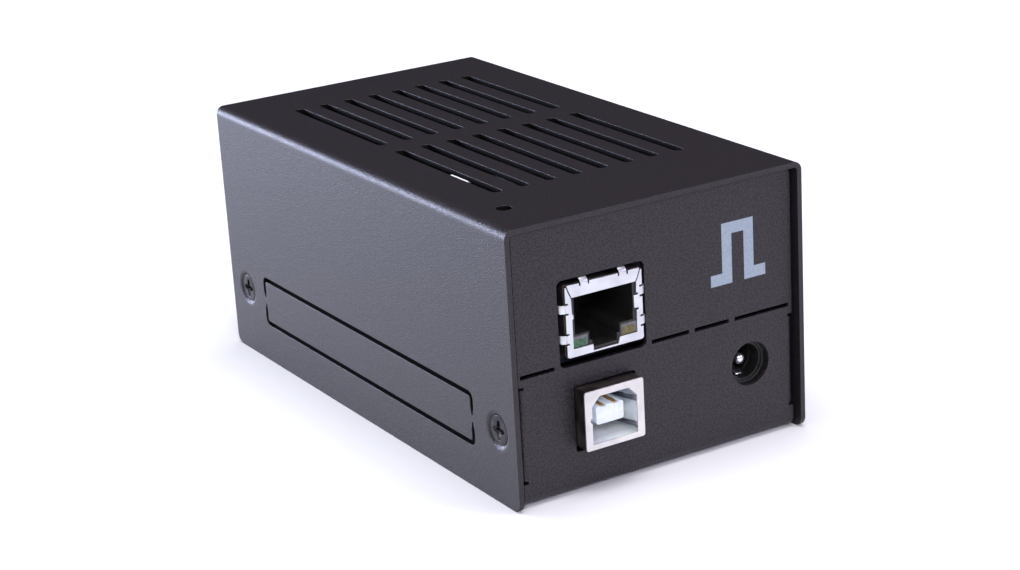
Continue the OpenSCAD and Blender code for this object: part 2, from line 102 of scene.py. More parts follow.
def make_stage():
    half = 3.0
    corners = [(-half, -half, 0), (half, -half, 0), (half, half, 0), (-half, half, 0)]
    mesh = bpy.data.meshes.new("floor")
    mesh.from_pydata(corners, [], [(0, 1, 2, 3)])
    floor = link(bpy.data.objects.new("floor", mesh))
    mat = new_material("floor", (0.87, 0.885, 0.945), 0.9)
    dim_highlights(mat, 0.1)
    floor.data.materials.append(mat)
    world = bpy.data.worlds.new("studio")
    world.use_nodes = True
    background = world.node_tree.nodes["Background"]
    background.inputs["Color"].default_value = (0.6, 0.65, 0.8, 1)
    background.inputs["Strength"].default_value = 0.03
    bpy.context.scene.world = world
    bpy.context.scene.view_settings.view_transform = "Standard"
    area_light("overhead", (0.0, -0.1, 1.6), (0, 0, 0), (1.2, 1.2), 28, (1, 0.98, 0.97))
    area_light("front_left", (-0.6, -1.2, 0.9), (0, 0, 0), (0.6, 0.6), 12, (1, 0.98, 0.95))
    area_light("front_right", (0.9, -1.1, 0.6), (0, 0, 0), (0.6, 0.6), 7, (0.76, 0.68, 1))
    area_light("back_left", (-0.62, 1.15, 0.17), (0, 0, 0.02), (0.8, 0.28), 24.5, (0.69, 0.745, 1))


# ------------------------------------------------------------------ materials

def new_material(name, colour, roughness, metallic=0.0):
    mat = bpy.data.materials.new(name)
    mat.use_nodes = True
    bsdf = surface(mat)
    bsdf.inputs["Base Color"].default_value = (*colour, 1)
    bsdf.inputs["Roughness"].default_value = roughness
    bsdf.inputs["Metallic"].default_value = metallic
    return mat


def surface(mat):
    return mat.node_tree.nodes["Principled BSDF"]


def dim_highlights(mat, level):
    surface(mat).inputs["Specular IOR Level"].default_value = level


def add(mat, kind, **values):
    node = mat.node_tree.nodes.new("ShaderNode" + kind)
    for key, value in values.items():
        node.inputs[key.replace("_", " ")].default_value = value
    return node


def wire(mat, out, into):
    mat.node_tree.links.new(out, into)


def object_space(mat, stretch=(1, 1, 1)):
    place = add(mat, "TexCoord")
    scale = add(mat, "Mapping", Scale=stretch)
    wire(mat, place.outputs["Object"], scale.inputs["Vector"])
    return scale.outputs["Vector"]


def noise(mat, where, per_metre, detail=2.0, rough=0.5):
    node = add(mat, "TexNoise", Scale=per_metre, Detail=detail, Roughness=rough)
    wire(mat, where, node.inputs["Vector"])
    return node.outputs["Fac"]


def remap(mat, fac, low, high, from_low=0.3, from_high=0.7):
    node = add(mat, "MapRange")
    node.inputs["From Min"].default_value = from_low
    node.inputs["From Max"].default_value = from_high
    node.inputs["To Min"].default_value = low
    node.inputs["To Max"].default_value = high
    wire(mat, fac, node.inputs["Value"])
    return node.outputs["Result"]


def tint(mat, fac, dark, light, low=0.35, high=0.65):
    """Colour that runs from dark to light as fac runs from low to high."""
    node = add(mat, "ValToRGB")
    node.color_ramp.elements[0].position = low
    node.color_ramp.elements[0].color = (*dark, 1)
    node.color_ramp.elements[1].position = high
    node.color_ramp.elements[1].color = (*light, 1)
    wire(mat, fac, node.inputs["Fac"])
    wire(mat, node.outputs["Color"], surface(mat).inputs["Base Color"])


def rough_from(mat, fac, low, high):
    wire(mat, remap(mat, fac, low, high), surface(mat).inputs["Roughness"])


def bump_from(mat, fac, depth_mm, strength=1.0, under=None):
    node = add(mat, "Bump", Strength=strength, Distance=depth_mm * MM)
    wire(mat, fac, node.inputs["Height"])
    if under is not None:
        wire(mat, under, node.inputs["Normal"])
    wire(mat, node.outputs["Normal"], surface(mat).inputs["Normal"])
    return node.outputs["Normal"]


def powder_coat(name, grains_per_metre, dark, light, spread):
    """Fine textured coat: peel under grain; a smaller spread gives harder speckles."""
    mat = new_material(name, dark, 0.45)
    where = object_space(mat)
    peel = noise(mat, where, 1100, 1.0)
    grain = noise(mat, where, grains_per_metre, 2.0, 0.6)
    tint(mat, grain, dark, light, 0.5 - spread, 0.5 + spread)
    rough_from(mat, grain, 0.34, 0.58)
    bump_from(mat, grain, 0.085, 1.0, bump_from(mat, peel, 0.05, 0.5))
    return mat


def plastic(name, dark, light, roughness, per_metre=900):
    mat = new_material(name, dark, roughness)
    where = object_space(mat)
    soft = noise(mat, where, per_metre, 3.0)
    fine = noise(mat, where, per_metre * 6, 2.0)
    tint(mat, soft, dark, light)
    rough_from(mat, fine, roughness - 0.06, roughness + 0.08)
    bump_from(mat, fine, 0.008, 0.5)
    return mat


def metal(name, dark, light, roughness, stretch=(1, 1, 6)):
    """Plated or drawn sheet metal with faint draw lines across the stretched axis."""
    mat = new_material(name, dark, roughness, 1.0)
    where = object_space(mat, stretch)
    lines = noise(mat, where, 900, 4.0, 0.6)
    cloud = noise(mat, object_space(mat), 260, 2.0)
    tint(mat, cloud, dark, light)
    rough_from(mat, lines, roughness - 0.08, roughness + 0.12)
    bump_from(mat, lines, 0.006, 0.4)
    return mat


def circuit_board():
    """Near-black mask over raised copper tracks that run in two directions; the mask is made this dark as
    painted shade, since the boards are only seen in the case's shadow.
    """
    mat = new_material("circuit_board", (0.012, 0.014, 0.018), 0.35)
    tracks = add(mat, "TexBrick", Scale=90, Mortar_Size=0.06, Mortar_Smooth=0.3, Bias=0.0)
    tracks.inputs["Brick Width"].default_value = 0.9
    tracks.inputs["Row Height"].default_value = 0.11
    wire(mat, object_space(mat), tracks.inputs["Vector"])
    cloud = noise(mat, object_space(mat), 500, 2.0)
    tint(mat, tracks.outputs["Fac"], (0.010, 0.013, 0.018), (0.030, 0.036, 0.045), 0.2, 0.8)
    rough_from(mat, cloud, 0.28, 0.42)
    bump_from(mat, tracks.outputs["Fac"], 0.03, 0.8)
    return mat


def lamp_window(name, dark, light):
    """Moulded light pipe: cloudy plastic that lets a little light through."""
    mat = plastic(name, dark, light, 0.3, 1500)
    surface(mat).inputs["Transmission Weight"].default_value = 0.25
    surface(mat).inputs["IOR"].default_value = 1.5
    return mat


coat = powder_coat("powder_coat", 4200, (0.0038, 0.0027, 0.0043), (0.0205, 0.0148, 0.0225), 0.1)
wall_coat = powder_coat("powder_coat_walls", 2700, (0.001, 0.0004, 0.0014), (0.0215, 0.0155, 0.0245), 0.035)
# Walls of the cover's cut holes: the coat made near-black and dull as painted shade, for the shadow inside
# the slots and on the cut edges.
shade_darkened_cut_coat = plastic("shade_darkened_cut_coat", (0.0015, 0.0012, 0.0016), (0.004, 0.0032, 0.0042), 0.75, 2500)
dim_highlights(shade_darkened_cut_coat, 0.15)
black_plastic = plastic("black_plastic", (0.008, 0.008, 0.009), (0.014, 0.014, 0.015), 0.42)
# Near-black, dull sheet that stands in for shade: painted shade behind the slits and in the gaps of the
# case.
film = plastic("painted_shade_film", (0.0015, 0.0015, 0.002), (0.003, 0.003, 0.0035), 0.88)
dim_highlights(film, 0.08)
bright_tin = metal("bright_tin", (0.86, 0.88, 0.92), (0.95, 0.96, 0.98), 0.3)
gold = metal("gold_plate", (0.75, 0.48, 0.14), (0.9, 0.62, 0.22), 0.25)
ivory = plastic("ivory_plastic", (0.76, 0.83, 0.9), (0.85, 0.91, 0.97), 0.35)
mark_ink = plastic("mark_ink", (0.26, 0.32, 0.4), (0.31, 0.37, 0.45), 0.5, 2500)
jack_tin = metal("jack_tin", (0.66, 0.68, 0.72), (0.78, 0.8, 0.84), 0.42)
# Tin made nearly black as painted shade: the jacks' walls, tops, bottoms and rears sit in shadow behind
# their fronts.
shade_darkened_tin = metal("shade_darkened_tin", (0.05, 0.042, 0.042), (0.16, 0.14, 0.14), 0.5, (1, 1, 1))
spring_steel = metal("spring_steel", (0.12, 0.12, 0.14), (0.24, 0.24, 0.27), 0.4)
contact_gold = metal("contact_gold", (0.8, 0.42, 0.13), (0.92, 0.55, 0.2), 0.32)
shell_tin = metal("shell_tin", (0.7, 0.68, 0.68), (0.82, 0.8, 0.79), 0.4)
light_pipe = lamp_window("light_pipe", (0.12, 0.12, 0.14), (0.2, 0.2, 0.23))
SLOT_LOOKS = {
    "case_paint": coat,
    "black_screw": metal("black_oxide", (0.025, 0.024, 0.028), (0.07, 0.066, 0.076), 0.33),
    "bright_screw": metal("zinc_plate", (0.6, 0.61, 0.64), (0.74, 0.74, 0.76), 0.3),
    "brass": metal("turned_brass", (0.62, 0.47, 0.2), (0.75, 0.6, 0.3), 0.3),
    "gold_plate": gold,
    "tin_plate": bright_tin,
    "circuit_board": circuit_board(),
    "black_plastic": black_plastic,
    "ivory_plastic": ivory,
    "chip_plastic": plastic("chip_epoxy", (0.016, 0.016, 0.018), (0.026, 0.026, 0.028), 0.55, 1400),
    "metal_can": metal("drawn_can", (0.2, 0.2, 0.21), (0.3, 0.3, 0.31), 0.5, (6, 6, 1)),
    "green_lens": lamp_window("green_window", (0.02, 0.08, 0.04), (0.06, 0.19, 0.09)),
    "amber_lens": lamp_window("amber_window", (0.11, 0.09, 0.025), (0.2, 0.17, 0.055)),
    "lamp_lens": lamp_window("lamp_window", (0.35, 0.5, 0.38), (0.55, 0.7, 0.58)),
}


# ------------------------------------------------------------------ outlines, in millimetres

def arc(x, y, r, start, stop, steps):
    """Points on an arc, angles in degrees."""
    turn = [math.radians(start + (stop - start) * i / steps) for i in range(steps + 1)]
    return [Vector((x + r * math.cos(a), y + r * math.sin(a))) for a in turn]


def circle(x, y, r, steps=36):
    return arc(x, y, r, 0, 360, steps)[:-1]


def soft_rect(x, y, w, h, r, steps=6):
    a, b = w / 2 - r, h / 2 - r
    return (arc(x + a, y - b, r, -90, 0, steps) + arc(x + a, y + b, r, 0, 90, steps)
            + arc(x - a, y + b, r, 90, 180, steps) + arc(x - a, y - b, r, 180, 270, steps))


def slot_outline(x, y, length, width, steps=12):
    reach = (length - width) / 2
    return arc(x, y + reach, width / 2, 0, 180, steps) + arc(x, y - reach, width / 2, 180, 360, steps)


def points(*pairs):
    return [Vector(p) for p in pairs]


def inset(loop, d):
    """The loop, counter-clockwise, moved inwards by d with mitred corners."""
    moved = []
    for i, p in enumerate(loop):
        a = (p - loop[i - 1]).normalized()
        b = (loop[(i + 1) % len(loop)] - p).normalized()
        na, nb = Vector((-a.y, a.x)), Vector((-b.y, b.x))
        moved.append(p + (na + nb) * (d / (1 + na.dot(nb))))
    return moved


def inside(p, loop):
    odd = False
    for i, b in enumerate(loop):
        a = loop[i - 1]
        if (a.y > p.y) != (b.y > p.y) and p.x < (b.x - a.x) * (p.y - a.y) / (b.y - a.y) + a.x:
            odd = not odd
    return odd


# ------------------------------------------------------------------ plates and other solids

def plate(bm, outer, holes, thick, edge, place, rings=(), lines=(), cut_look=0):
    """Adds a sheet with rounded rims to bm. place turns (u, v, height over mid sheet) into a point in mm.
    rings and lines are creases that the faces follow, so that the sheet can be bent or pressed there.
    cut_look is the index of the material on the walls of the holes, under their rounded rims."""
    loops = [inset(outer, edge)] + [inset(h, -edge) for h in holes]
    flat, edges, starts = [], [], []
    for loop in loops + list(rings):
        starts.append(len(flat))
        edges += [(len(flat) + i, len(flat) + (i + 1) % len(loop)) for i in range(len(loop))]
        flat += loop
    for a, b in lines:
        edges.append((len(flat), len(flat) + 1))
        flat += [Vector(a), Vector(b)]
    coords, _, faces, source, _, _ = delaunay_2d_cdt(flat, edges, [], 0, 1e-5, True)
    became = {i: k for k, group in enumerate(source) for i in group}
    sides = [[bm.verts.new(place(c.x, c.y, s * thick / 2) * MM) for c in coords] for s in (1, -1)]
    for f in faces:
        centre = sum((coords[i] for i in f), Vector((0, 0))) / len(f)
        sliver = abs((coords[f[1]] - coords[f[0]]).cross(coords[f[2]] - coords[f[0]])) < 1e-5
        if not sliver and inside(centre, loops[0]) and not any(inside(centre, h) for h in loops[1:]):
            bm.faces.new([sides[0][i] for i in f])
            bm.faces.new([sides[1][i] for i in reversed(f)])
    turn = [math.radians(a) for a in (30, 60, 90)]
    half = [(edge * (1 - math.sin(a)), thick / 2 - edge * (1 - math.cos(a))) for a in turn]
    profile = half + [(d, -h) for d, h in reversed(half)]
    for n, loop in enumerate([outer] + list(holes)):
        sign = 1 if n == 0 else -1
        rows = [[sides[0][became[starts[n] + i]] for i in range(len(loop))]]
        for d, h in profile:
            rows.append([bm.verts.new(place(p.x, p.y, h) * MM) for p in inset(loop, sign * d)])
        rows.append([sides[1][became[starts[n] + i]] for i in range(len(loop))])
        wall = len(half)
        bridge(bm, rows[:wall + 1])
        bridge(bm, rows[wall:], cut_look if n else 0)
    bmesh.ops.delete(bm, geom=[v for v in bm.verts if not v.link_faces], context="VERTS")


def bridge(bm, rows, look=0):
    """Quads between closed rows of vertices."""
    for upper, lower in zip(rows, rows[1:]):
        for i in range(len(upper)):
            j = (i + 1) % len(upper)
            quad = [upper[i], lower[i], lower[j], upper[j]]
            if len(set(quad)) == 4:
                bm.faces.new(quad).material_index = look


def block(bm, low, high, edge=0.12):
    """A box with rounded edges, from its lowest to its highest corner in mm."""
    low, high = Vector(low), Vector(high)
    made = bmesh.ops.create_cube(bm, size=1)["verts"]
    for v in made:
        v.co = Vector([low[i] + (v.co[i] + 0.5) * (high[i] - low[i]) for i in range(3)]) * MM
    rims = list(dict.fromkeys(e for v in made for e in v.link_edges))
    bmesh.ops.bevel(bm, geom=rims, offset=edge * MM, segments=2, affect="EDGES", profile=0.5)


def turned(bm, profile, place, steps=40):
    """Turns a profile of (radius, height) into a solid; place turns (x, y, height) into a point in mm."""
    rows = []
    for r, h in profile:
        if r < 1e-6:
            rows.append([bm.verts.new(place(0, 0, h) * MM)] * steps)
            continue
        rows.append([bm.verts.new(place(p.x, p.y, h) * MM) for p in circle(0, 0, r, steps)])
    for upper, lower in zip(rows, rows[1:]):
        for i in range(steps):
            j = (i + 1) % steps
            corners = []
            for v in (upper[i], lower[i], lower[j], upper[j]):
                if v not in corners:
                    corners.append(v)
            if len(corners) > 2:
                bm.faces.new(corners)


def ribbon(bm, path, width_axis, width, thick):
    """A bent strip of sheet along path, points in mm; width_axis is a unit vector."""
    across = Vector(width_axis)
    rows = []
    for i, p in enumerate(path):
        p = Vector(p)
        along = (Vector(path[min(i + 1, len(path) - 1)]) - Vector(path[max(i - 1, 0)])).normalized()
        out = along.cross(across).normalized()
        rows.append([bm.verts.new((p + across * (sx * width / 2) + out * (sy * thick / 2)) * MM)
                     for sx, sy in ((-1, -1), (1, -1), (1, 1), (-1, 1))])
    bridge(bm, rows)
    bm.faces.new(rows[0])
    bm.faces.new(list(reversed(rows[-1])))


def piece(name, bm, mat, replaces=(), body="case", cut_mat=None):
    """Finishes a bmesh as a piece of the object that rides on a CAD body."""
    bmesh.ops.remove_doubles(bm, verts=bm.verts, dist=1e-7)
    bmesh.ops.recalc_face_normals(bm, faces=bm.faces)
    for f in bm.faces:
        f.smooth = True
    mesh = bpy.data.meshes.new(name)
    bm.to_mesh(mesh)
    bm.free()
    mesh.materials.append(mat)
    if cut_mat:
        mesh.materials.append(cut_mat)
    obj = link(bpy.data.objects.new(name, mesh))
    obj.modifiers.new("flat_faces", "WEIGHTED_NORMAL").keep_sharp = False
    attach(obj, body)
    if replaces:
        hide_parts(*replaces)
    return obj


# ------------------------------------------------------------------ case

SHEET = 1.0
RIM = 0.08                      # radius of the coated sheet edges
BEND = 1.1                      # radius of a bend at mid sheet
QUARTER = math.pi / 2
BEND_STEPS = 7
CALM = 0.3                      # strip beside a bend that takes up its shading
case_low, case_high = box_mm("cover")
tray_low, tray_high = box_mm("tray")
FRONT, REAR, TOP, HALF_W = case_low.y, case_high.y, case_high.z, case_high.x
DEPTH = REAR - FRONT
FLAT_TOP = HALF_W - SHEET / 2 - BEND            # half width of the flat top
SIDE = TOP - SHEET / 2 - BEND                   # height of the flat part of a side
SCREW_Z = sum(c.z for c in box_mm("cover_screws")) / 2
SCREWS = ((6, 1), (DEPTH - 7, 1), (6, -1), (DEPTH - 7, -1))     # distance behind the front, side
VENTS, VENT_PITCH = 8, 5.45                     # slots in a row, and their spacing
VENT_ROWS = (37.7, 78.4)                        # middle of each row, behind the front
VENT = (35.4, 2.0)                              # length and width of a slot
ACCESS = (-23.4, 11.4, 1.4)                     # reset access hole: place and radius
FOOT = 2.0                                      # corner radius of a side sheet
COVER_SCREW_HOLE = 1.65
DISH_R, DISH_RAMP, DISH_DEPTH = 3.9, 0.8, 0.14  # shallow dish pressed round each funnel
FUNNEL_R, FUNNEL_SLOPE = 3.1, 0.97
FUNNEL_INNER_DEPTH = 0.7                        # the most that the sheet's inner face is pressed
FUNNEL_RINGS = (3.95, 3.75, 3.55, 3.35, FUNNEL_R, 2.6, 2.1)
PANEL = (40.25, 4.6)                            # half length and half height of a break-out panel
PANEL_MID, PANEL_Z = 54.5, SCREW_Z - 0.5        # its middle, behind the front and above the floor


def bend_lines(flat):
    """Creases over a quarter bend that starts at flat, in the developed sheet."""
    return [flat + BEND * QUARTER * i / BEND_STEPS for i in range(BEND_STEPS + 1)]


def calm_lines(flat):
    """Creases on both sides of that bend."""
    return [flat - CALM, flat + BEND * QUARTER + CALM]


def bent(length, radius):
    """Angle of a bend reached after that length, and what is left of the length."""
    angle = min(max(length, 0) / radius, QUARTER)
    return angle, max(length - radius * QUARTER, 0)


def on_side(z):
    """Developed distance from the middle of the cover to height z on a side sheet."""
    return FLAT_TOP + BEND * QUARTER + SIDE - z


def pressed(u, v, w):
    """Depth of the funnels for the cover screws, at a point of the developed cover."""
    centres = [Vector((s * on_side(SCREW_Z), y)) for y, s in SCREWS]
    r = min((Vector((u, v)) - c).length for c in centres)
    if r > DISH_R:
        return 0
    dish = DISH_DEPTH * (min(DISH_R - r, DISH_RAMP) / DISH_RAMP) ** 2
    depth = dish + max(FUNNEL_R - r, 0) * FUNNEL_SLOPE
    return min(depth, FUNNEL_INNER_DEPTH) if w < 0 else depth


def on_cover(u, v, w):
    """A point of the bent and pressed cover: u across from its middle, v back from its front."""
    w -= pressed(u, v, w)
    angle, rest = bent(abs(u) - FLAT_TOP, BEND)
    x = min(abs(u), FLAT_TOP) + (BEND + w) * math.sin(angle)
    z = SIDE + (BEND + w) * math.cos(angle) - rest
    return Vector((math.copysign(x, u), FRONT + v, z))


def break_out_slit(x, y, half_len, half_h, turned_over):
    """One half of the slit round a break-out panel, narrowing towards the tabs at its ends."""
    slit, tab, outer_r, inner_r = 0.45, 0.6, 1.4, 0.5
    full_width = tab + outer_r
    out_x, out_y = half_len + slit, half_h + slit
    in_x, in_y = half_len - slit, half_h - slit
    loop = points((out_x - slit, tab), (out_x, full_width))
    loop += arc(out_x - outer_r, out_y - outer_r, outer_r, 0, 90, 6)
    loop += arc(-out_x + outer_r, out_y - outer_r, outer_r, 90, 180, 6)
    loop += points((-out_x, full_width), (-out_x + slit, tab))
    loop += points((-out_x + 1.5 * slit, tab), (-in_x, full_width))
    loop += arc(-in_x + inner_r, in_y - inner_r, inner_r, 180, 90, 4)
    loop += arc(in_x - inner_r, in_y - inner_r, inner_r, 90, 0, 4)
    loop += points((in_x, full_width), (out_x - 1.5 * slit, tab))
    turn = -1 if turned_over else 1
    # the panel's length lies along v, and its height along u
    return [Vector((x + turn * p.y, y - turn * p.x)) for p in loop]


def make_cover():
    """The cover, cut from a flat sheet, pressed round its screws and bent."""
    reach = on_side(0)
    bends = sorted(s * u for s in (-1, 1) for u in bend_lines(FLAT_TOP))
    beside = [s * u for s in (-1, 1) for u in calm_lines(FLAT_TOP)]
    across = sorted(bends + beside)
    outer = arc(reach - FOOT, FOOT, FOOT, -90, 0, 6)
    outer += arc(reach - FOOT, DEPTH - FOOT, FOOT, 0, 90, 6)
    outer += [Vector((u, DEPTH)) for u in reversed(across)]
    outer += arc(-reach + FOOT, DEPTH - FOOT, FOOT, 90, 180, 6)
    outer += arc(-reach + FOOT, FOOT, FOOT, 180, 270, 6)
    outer += [Vector((u, 0)) for u in across]
    vent_xs = [(i - (VENTS - 1) / 2) * VENT_PITCH for i in range(VENTS)]
    holes = [slot_outline(x, y, *VENT) for y in VENT_ROWS for x in vent_xs]
    holes.append(circle(*ACCESS))
    rings = []
    for side in (-1, 1):
        middle = side * on_side(PANEL_Z)
        holes += [break_out_slit(middle, PANEL_MID, *PANEL, over) for over in (False, True)]
    for y, side in SCREWS:
        centre = (side * on_side(SCREW_Z), y)
        holes.append(circle(*centre, COVER_SCREW_HOLE, 32))
        rings += [circle(*centre, r, 32) for r in FUNNEL_RINGS]
    lines = [((u, RIM), (u, DEPTH - RIM)) for u in bends + beside]
    bm = bmesh.new()
    # the walls of the holes take the coat darkened as painted shade
    plate(bm, outer, holes, SHEET, RIM, on_cover, rings, lines, 1)
    piece("cover_sheet", bm, coat, ["cover"], cut_mat=shade_darkened_cut_coat)


FILM_MID, FILM_LEN, FILM_HEIGHT = 54.9, 93, 15
FILM_INSET = 0.12                               # from the side sheet to the middle of the film
SHADE_BLOCK_OUT = 29.44                                # outer end of the near-black strips of painted shade, from the middle of the case
SHADE_BLOCK_DEEP, SHADE_BLOCK_NEAR = 2.2, 1.06                # their faces, from the rear wall's outer face
SHADE_BLOCKS = ((28.82, 5, 21.5), (27.4, 21.6, 47.5))    # inner end, lowest and highest point


def make_shade_sheets():
    """Near-black sheets behind the break-out panels, and near-black strips inside the rear wall's edges,
    wider above the flanges: painted shade that blacks out what shows through the slits and gaps.
    """
    bm = bmesh.new()
    for side in (-1, 1):
        x = side * (HALF_W - SHEET - FILM_INSET)
        plate(bm, soft_rect(FILM_MID, PANEL_Z, FILM_LEN, FILM_HEIGHT, 1, 4), [], 0.2, 0.05,
              lambda u, v, w, x=x: Vector((x + w, FRONT + u, v)))
        for inner, low, high in SHADE_BLOCKS:
            left, right = sorted((side * inner, side * SHADE_BLOCK_OUT))
            block(bm, (left, tray_high.y - SHADE_BLOCK_DEEP, low), (right, tray_high.y - SHADE_BLOCK_NEAR, high), 0.1)
    piece("painted_shade_films", bm, film)


TRAY_HALF_W = 28.75
TRAY_MID_Y = (tray_low.y + tray_high.y) / 2
TRAY_FLAT = (tray_high.y - tray_low.y) / 2 - SHEET / 2 - BEND
TRAY_UP = tray_low.z + SHEET / 2 + BEND         # height at which the end walls become straight
FLANGE_BEND = 0.5
FLANGE_AT = TRAY_HALF_W - SHEET / 2 - FLANGE_BEND
FLANGE = (4.95, 21.45)                          # lowest and highest point of the side flanges
FLANGE_LEN = 8.4
RELIEF = 0.5                                    # notch above and below each flange
# creases over the bend of a flange, from the middle of the tray
FLANGE_BENDS = [FLANGE_AT + FLANGE_BEND * QUARTER * i / 4 for i in range(5)]
BREAK_SLITS = ((-28.3, -21.5), (-1.6, 6.3), (7.5, 14.8), (16.1, 28.0))     # ends, across the front wall
BREAK_SLIT_Z, BREAK_SLIT_HEIGHT = 23.7, 0.7
JACK_CUT, JACK_CUT_Z = (17.6, 15.45, 1.0), 31.075       # width, height and corner radius; middle height
SOCKET_CUT, SOCKET_CUT_Z = (12.6, 11.95, 0.5), 13.6
POWER_HOLE_R = 4.05
LOCK_SLOT = (22.4, 24.4, 7, 3, 0.8)                     # in the rear wall: place, size, corner radius
STANDOFFS = [(x, FRONT + 4.45 + y) for x, y in ((24.1, 14), (-24.2, 15.2), (19, 66), (-9, 66))]
STANDOFF_HOLE_R = 2.1
FLANGE_SCREW_HOLE_R = 1.5


def on_wall(z):
    """Developed distance from the middle of the tray to height z on an end wall."""
    return TRAY_FLAT + BEND * QUARTER + z - TRAY_UP


def on_tray(x, s, w):
    """The developed tray, s running from the front wall's top to the rear wall's top."""
    height = abs(s) - on_wall(0)
    if FLANGE[0] - 0.01 < height < FLANGE[1] + 0.01:
        angle, rest = bent(abs(x) - FLANGE_AT, FLANGE_BEND)
        out = min(abs(x), FLANGE_AT) + (FLANGE_BEND + w) * math.sin(angle)
        w = (FLANGE_BEND + w) * math.cos(angle) - FLANGE_BEND - rest
        x = math.copysign(out, x)
    angle, rest = bent(abs(s) - TRAY_FLAT, BEND)
    y = min(abs(s), TRAY_FLAT) + (BEND + w) * math.sin(angle)
    z = TRAY_UP - (BEND + w) * math.cos(angle) + rest
    return Vector((x, TRAY_MID_Y + math.copysign(y, s), z))


def tray_outline(folds):
    """Right half of the developed tray's outline, front to rear, with a flange on each end wall."""
    tip = FLANGE_AT + FLANGE_BEND * QUARTER + FLANGE_LEN
    top = on_wall(tray_high.z)
    xs = FLANGE_BENDS[1:]
    low, high = on_wall(FLANGE[0]), on_wall(FLANGE[1])
    half = points((TRAY_HALF_W - 0.4, top), (TRAY_HALF_W, top - 0.4), (TRAY_HALF_W, high + RELIEF))
    half += points((FLANGE_AT, high + RELIEF), (FLANGE_AT, high)) + [Vector((x, high)) for x in xs]
    half += points((tip - 1, high), (tip, high - 1), (tip, low + 1), (tip - 1, low))
    half += [Vector((x, low)) for x in reversed(xs)]
    half += points((FLANGE_AT, low), (FLANGE_AT, low - RELIEF), (TRAY_HALF_W, low - RELIEF))
    half += [Vector((TRAY_HALF_W, s)) for s in reversed(folds)]
    return [Vector((p.x, -p.y)) for p in half] + [p for p in reversed(half)]


def make_tray():
    """Floor, front and rear wall with their flanges, cut from one flat sheet and bent."""
    folds = sorted(bend_lines(TRAY_FLAT) + calm_lines(TRAY_FLAT))
    right = tray_outline(folds)
    outer = right + [Vector((-p.x, p.y)) for p in reversed(right)]
    jack_x = sum(c.x for c in box_mm("lan_shell")) / 2
    usb_x = sum(c.x for c in box_mm("usb_shell")) / 2
    pin_x, pin_z = (sum(c[i] for c in box_mm("power_jack_pin")) / 2 for i in (0, 2))
    low, high = on_wall(FLANGE[0]), on_wall(FLANGE[1])
    # holes in the front wall are drawn with z upwards and then turned onto the front half of the strip
    cuts = [soft_rect(jack_x - 0.15, JACK_CUT_Z, *JACK_CUT)]
    cuts.append(soft_rect(usb_x + 0.1, SOCKET_CUT_Z, *SOCKET_CUT))
    cuts.append(circle(pin_x, pin_z, POWER_HOLE_R))
    for a, b in BREAK_SLITS:
        cuts.append(soft_rect((a + b) / 2, BREAK_SLIT_Z, b - a, BREAK_SLIT_HEIGHT, 0.12, 2))
    holes = [[Vector((p.x, -on_wall(p.y))) for p in reversed(cut)] for cut in cuts]
    holes.append([Vector((p.x, on_wall(p.y))) for p in soft_rect(*LOCK_SLOT)])
    for x, y in STANDOFFS:
        holes.append(circle(x, y - TRAY_MID_Y, STANDOFF_HOLE_R, 28))
    boss = FLANGE_AT + FLANGE_BEND * (QUARTER - 1) - SHEET / 2
    for y, side in SCREWS:
        end = -1 if y < DEPTH / 2 else 1
        reach = boss + (y if end < 0 else DEPTH - y) - (tray_low.y - FRONT)
        holes.append(circle(side * reach, end * on_wall(SCREW_Z), FLANGE_SCREW_HOLE_R, 24))
    lines = []
    for end in (-1, 1):
        lines += [((-TRAY_HALF_W + RIM, end * s), (TRAY_HALF_W - RIM, end * s)) for s in folds]
        for side in (-1, 1):
            lines += [((side * x, end * (low + RIM)), (side * x, end * (high - RIM))) for x in FLANGE_BENDS]
    bm = bmesh.new()
    plate(bm, outer, holes, SHEET, RIM, on_tray, (), lines)
    piece("tray_sheet", bm, wall_coat, ["tray"])


def make_cover_screws():
    """Countersunk heads with a cross recess; each is drawn looking along +z and then laid on its side."""
    w, reach, r = 0.44, 1.65, 2.7       # half width and length of an arm of the cross, radius of the head
    below, crown = 0.22, 0.012          # head below the side sheet's face, and how fast it rounds off
    cross = []
    for quarter in range(4):
        turn = Quaternion((0, 0, 1), quarter * QUARTER)
        for x, y in ((w * 1.25, -w * 1.25), (reach, -w * 0.8), (reach + 0.12, 0), (reach, w * 0.8)):
            spot = turn @ Vector((x, y, 0))
            cross.append(Vector((spot.x, spot.y)))
    bm = bmesh.new()
    for y, side in SCREWS:
        def lay(u, v, h, side=side, y=y):
            return Vector((side * (HALF_W - below + h), FRONT + y + u * side, SCREW_Z + v))

        plate(bm, circle(0, 0, r, 40), [cross], 0.3, 0.1,
              lambda u, v, h: lay(u, v, h - 0.15 - crown * (u * u + v * v)))
        rows = [[bm.verts.new(lay(p.x * k, p.y * k, -h) * MM) for p in cross]
                for k, h in ((1.0, 0.2), (0.82, 0.7), (0.45, 1.05))]
        bridge(bm, rows)
        bm.faces.new(rows[-1])
        turned(bm, [(r - 0.08, -0.38), (1.45, -1.5), (1.45, -6.0), (0, -6.2)], lay, 32)
    piece("cover_screw_heads", bm, SLOT_LOOKS["black_screw"], ["cover_screws"])


def make_mark():
    """A generic square-wave sign printed on the front wall."""
    wall = tray_low.y
    corner = Vector((11.2, 30.6))
    k = 2.1         # width of the line
    wave = points((0, 0), (4.6, 0), (4.6, 9), (7.2, 9), (7.2, 0), (11.8, 0), (11.8, k), (7.2 + k, k),
                  (7.2 + k, 9 + k), (4.6 - k, 9 + k), (4.6 - k, k), (0, k))
    bm = bmesh.new()
    plate(bm, [p + corner for p in wave], [], 0.03, 0.01,
          lambda u, v, w: Vector((u, wall - 0.015 - w, v)))
    piece("printed_wave_sign", bm, mark_ink)


